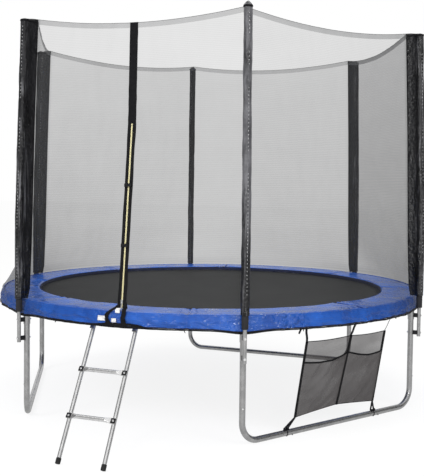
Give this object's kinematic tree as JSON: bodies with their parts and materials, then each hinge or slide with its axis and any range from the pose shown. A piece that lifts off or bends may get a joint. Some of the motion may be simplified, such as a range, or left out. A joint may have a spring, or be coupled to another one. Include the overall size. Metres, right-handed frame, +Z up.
{
  "type": "trampoline",
  "caption": "Round garden trampoline on U-shaped legs, with a sprung mat, padded edge, zipped safety net on padded poles, ladder and hanging shoe bag.",
  "frame": {"origin": "centre of the jumping mat's top face", "axes": "+Z up, normal to the mat; -Y towards the net's door and the ladder"},
  "size_m": [3.167, 3.5866, 2.5942],
  "materials": {
    "galvanised_steel": "galvanised satin",
    "spring_steel": "zinc plated satin",
    "zinc_fasteners": "zinc plated",
    "black_plastic": "moulded, matte",
    "rubber_feet": "matte",
    "pole_foam": "closed-cell foam, matte",
    "black_fabric": "woven polyester, slight gloss",
    "band_webbing": "thin woven hem",
    "net_mesh": "fine knotless mesh",
    "bag_mesh": "fine mesh",
    "mat_fabric": "woven polypropylene",
    "mat_webbing": "sewn webbing",
    "pad_pvc": "coated sheet, soft gloss",
    "white_foam": "closed-cell foam",
    "zip_coil": "moulded coil",
    "zip_metal": "polished"
  },
  "bodies": {
    "frame": {"buckle_sockets": "black_plastic", "frame_screws": "zinc_fasteners", "leg_base_1": "galvanised_steel", "leg_base_2": "galvanised_steel", "leg_base_3": "galvanised_steel", "leg_upright_1": "galvanised_steel", "leg_upright_2": "galvanised_steel", "leg_upright_3": "galvanised_steel", "leg_upright_4": "galvanised_steel", "leg_upright_5": "galvanised_steel", "leg_upright_6": "galvanised_steel", "net_hem_cord": "black_fabric", "net_panels": "net_mesh", "net_pole_pockets": "black_fabric", "net_top_band": "band_webbing", "pad_cover": "pad_pvc", "pad_foam": "white_foam", "pad_ties": "black_fabric", "pole_bolts_and_nuts": "zinc_fasteners", "pole_caps": "black_plastic", "pole_foam_sleeves": "pole_foam", "pole_lower_1": "galvanised_steel", "pole_lower_2": "galvanised_steel", "pole_lower_3": "galvanised_steel", "pole_lower_4": "galvanised_steel", "pole_lower_5": "galvanised_steel", "pole_lower_6": "galvanised_steel", "pole_spacers": "black_plastic", "pole_upper_1": "galvanised_steel", "pole_upper_2": "galvanised_steel", "pole_upper_3": "galvanised_steel", "pole_upper_4": "galvanised_steel", "pole_upper_5": "galvanised_steel", "pole_upper_6": "galvanised_steel", "rail_segment_1": "galvanised_steel", "rail_segment_2": "galvanised_steel", "rail_segment_3": "galvanised_steel", "rail_segment_4": "galvanised_steel", "rail_segment_5": "galvanised_steel", "rail_segment_6": "galvanised_steel", "shoe_bag_panel": "bag_mesh", "shoe_bag_piping": "black_fabric", "shoe_bag_pockets": "bag_mesh", "shoe_bag_straps": "black_fabric", "springs": "spring_steel", "zip_coil": "zip_coil", "zip_tape": "black_fabric"},
    "mat": {"jumping_mat": "mat_fabric", "mat_hem": "mat_webbing", "mat_rings": "galvanised_steel"},
    "ladder": {"ladder_bolts_and_nuts": "zinc_fasteners", "ladder_feet": "rubber_feet", "ladder_hooks": "galvanised_steel", "ladder_rail_left": "galvanised_steel", "ladder_rail_right": "galvanised_steel", "ladder_rung_caps": "black_plastic", "ladder_rungs": "galvanised_steel"},
    "slider": {"zip_slider": "zip_metal"},
    "prong_upper": {"buckle_prong_upper": "black_plastic"},
    "prong_lower": {"buckle_prong_lower": "black_plastic"}
  },
  "joints": [
    {"name": "mat_bounce", "type": "slide", "parent": "frame", "child": "mat", "axis": [0, 0, 1], "range_m": [-0.35, 0], "stiffness_N_per_m": 4000, "springref_m": 0.02, "deforming": ["springs"]},
    {"name": "ladder_swing", "type": "hinge", "parent": "frame", "child": "ladder", "pos_m": [0, -1.49926, -0.015], "axis": [-1, 0, 0], "range_deg": [0, 7]},
    {"name": "zip_slide", "type": "slide", "parent": "frame", "child": "slider", "axis": [-0.0606, 0.2151, 0.9747], "range_m": [0, 1.05]},
    {"name": "buckle_upper_release", "type": "slide", "parent": "frame", "child": "prong_upper", "axis": [0.9981, 0, 0.062], "range_m": [0, 0.03]},
    {"name": "buckle_lower_release", "type": "slide", "parent": "frame", "child": "prong_lower", "axis": [0.9981, 0, 0.062], "range_m": [0, 0.03]}
  ]
}
